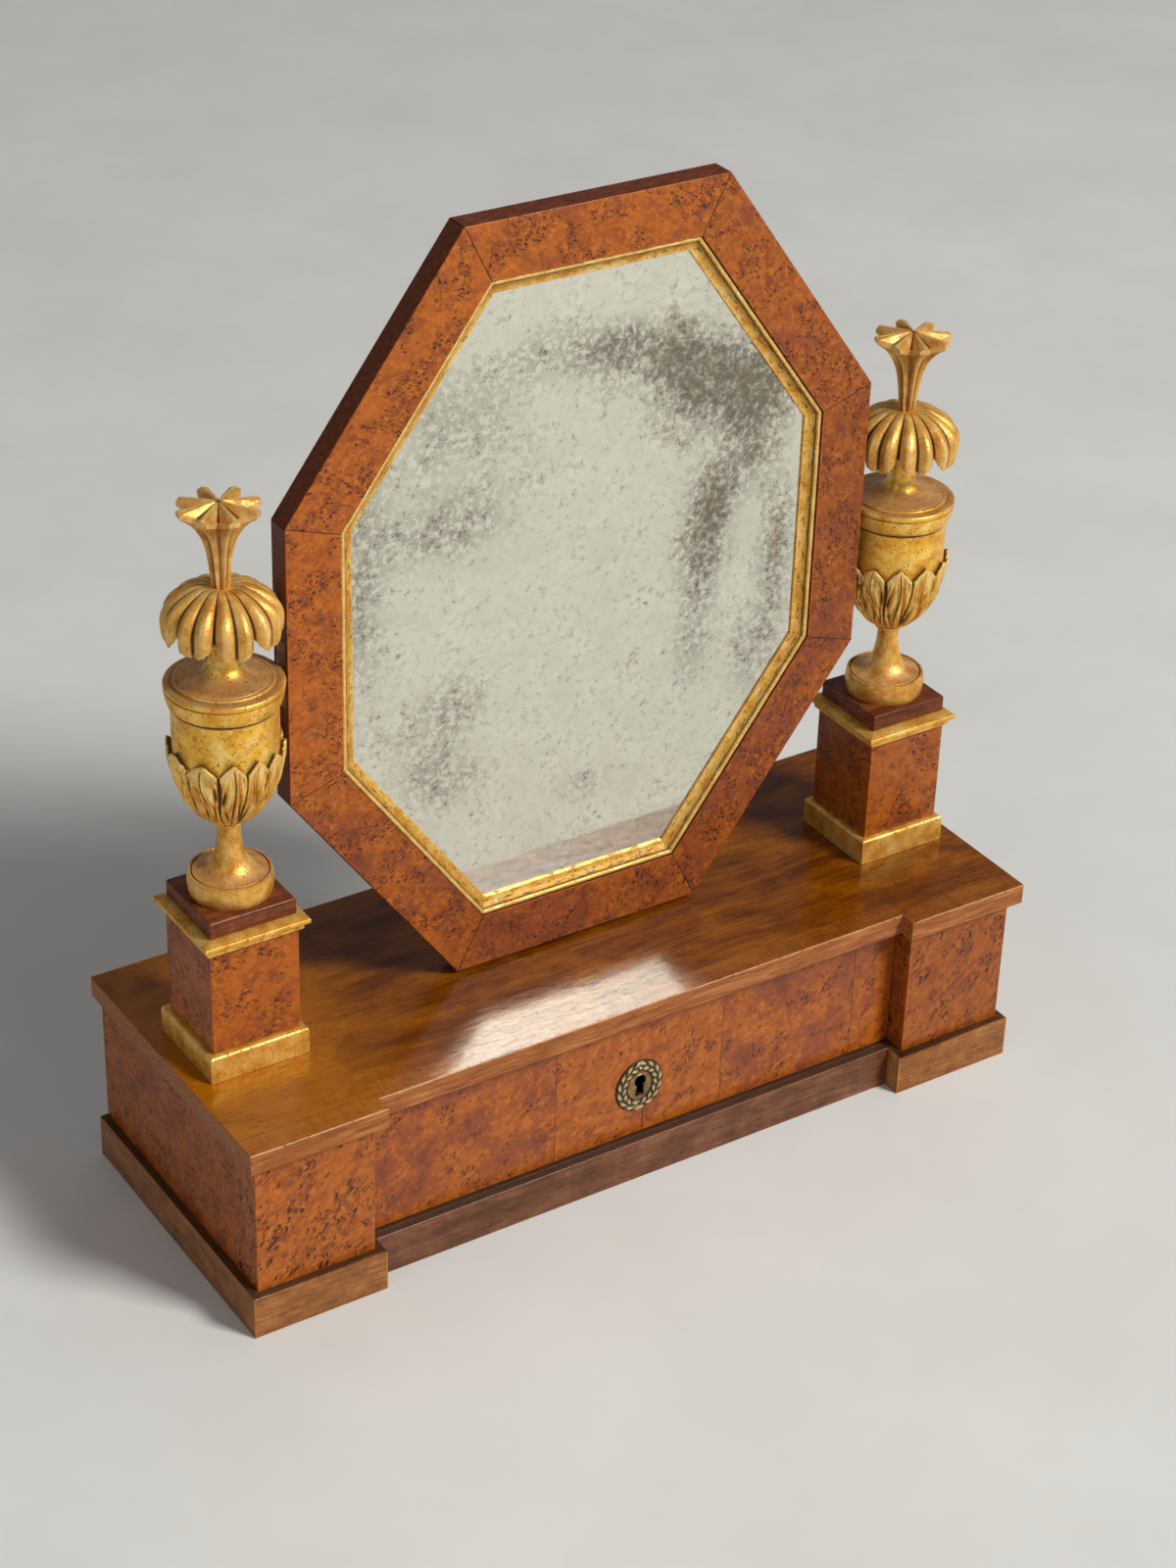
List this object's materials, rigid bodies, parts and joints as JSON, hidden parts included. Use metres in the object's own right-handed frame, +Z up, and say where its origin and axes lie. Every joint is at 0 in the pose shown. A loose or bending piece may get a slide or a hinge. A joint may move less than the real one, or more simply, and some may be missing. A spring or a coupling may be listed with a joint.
{
  "type": "table mirror",
  "caption": "Octagonal swing mirror in a burl frame, hung between gilt urns on pedestals that stand on a break-front box with a lockable drawer.",
  "frame": {"origin": "middle of the box in plan, on the surface it stands on", "axes": "+X right along the front, +Y from the front to the back, +Z up"},
  "size_m": [0.56, 0.208, 0.6195],
  "materials": {
    "burl_veneer": "reddish burl veneer under old french polish",
    "polished_mahogany": "straight-grained mahogany with a high polish",
    "plinth_mahogany": "worn brown mahogany, dusty in its corners",
    "dark_mahogany": "dark polished mahogany",
    "plain_wood": "plain carcass wood, oiled by age",
    "drawer_lining": "planed pale hardwood",
    "gilding": "water gilding over red bole on carved wood, rubbed and specked",
    "brass": "old stamped and cast brass",
    "looking_glass": "old silvered plate, foxed at its edges"
  },
  "bodies": {
    "case": {"case_back": "plain_wood", "case_floor": "plain_wood", "case_left_side": "burl_veneer", "case_right_side": "burl_veneer", "drawer_stops": "plain_wood", "front_rail": "plinth_mahogany", "left_drawer_guide": "plain_wood", "left_end_block": "burl_veneer", "left_leaf_calyx": "gilding", "left_palm_canopy": "gilding", "left_pedestal_base": "gilding", "left_pedestal_cap": "dark_mahogany", "left_pedestal_cornice": "gilding", "left_pedestal_shaft": "burl_veneer", "left_pivot_pin": "brass", "left_star_finial": "gilding", "left_urn_bowl": "gilding", "left_urn_foot": "gilding", "left_urn_lid": "gilding", "plinth_centre": "plinth_mahogany", "plinth_left_front": "plinth_mahogany", "plinth_left_side": "plinth_mahogany", "plinth_right_front": "plinth_mahogany", "plinth_right_side": "plinth_mahogany", "right_drawer_guide": "plain_wood", "right_end_block": "burl_veneer", "right_leaf_calyx": "gilding", "right_palm_canopy": "gilding", "right_pedestal_base": "gilding", "right_pedestal_cap": "dark_mahogany", "right_pedestal_cornice": "gilding", "right_pedestal_shaft": "burl_veneer", "right_pivot_pin": "brass", "right_star_finial": "gilding", "right_urn_bowl": "gilding", "right_urn_foot": "gilding", "right_urn_lid": "gilding", "top_board": "polished_mahogany"},
    "mirror": {"backboard": "plain_wood", "frame_bottom": "burl_veneer", "frame_left": "burl_veneer", "frame_lower_left": "burl_veneer", "frame_lower_right": "burl_veneer", "frame_right": "burl_veneer", "frame_top": "burl_veneer", "frame_upper_left": "burl_veneer", "frame_upper_right": "burl_veneer", "gilt_slip": "gilding", "left_pivot_plate": "brass", "mirror_glass": "looking_glass", "right_pivot_plate": "brass"},
    "drawer": {"drawer_back": "drawer_lining", "drawer_floor": "drawer_lining", "drawer_front": "burl_veneer", "drawer_left_side": "drawer_lining", "drawer_right_side": "drawer_lining", "escutcheon": "brass", "lock_case": "brass"},
    "lock_bolt": {"lock_bolt": "brass"}
  },
  "joints": [
    {"name": "drawer_slide", "type": "slide", "parent": "case", "child": "drawer", "axis": [0, -1, 0], "range_m": [0, 0.13]},
    {"name": "lock_bolt_lift", "type": "slide", "parent": "drawer", "child": "lock_bolt", "axis": [0, 0, 1], "range_m": [0, 0.005]},
    {"name": "mirror_tilt", "type": "hinge", "parent": "case", "child": "mirror", "pos_m": [0, 0, 0.37285], "axis": [1, 0, 0], "range_deg": [-160, 160]}
  ]
}
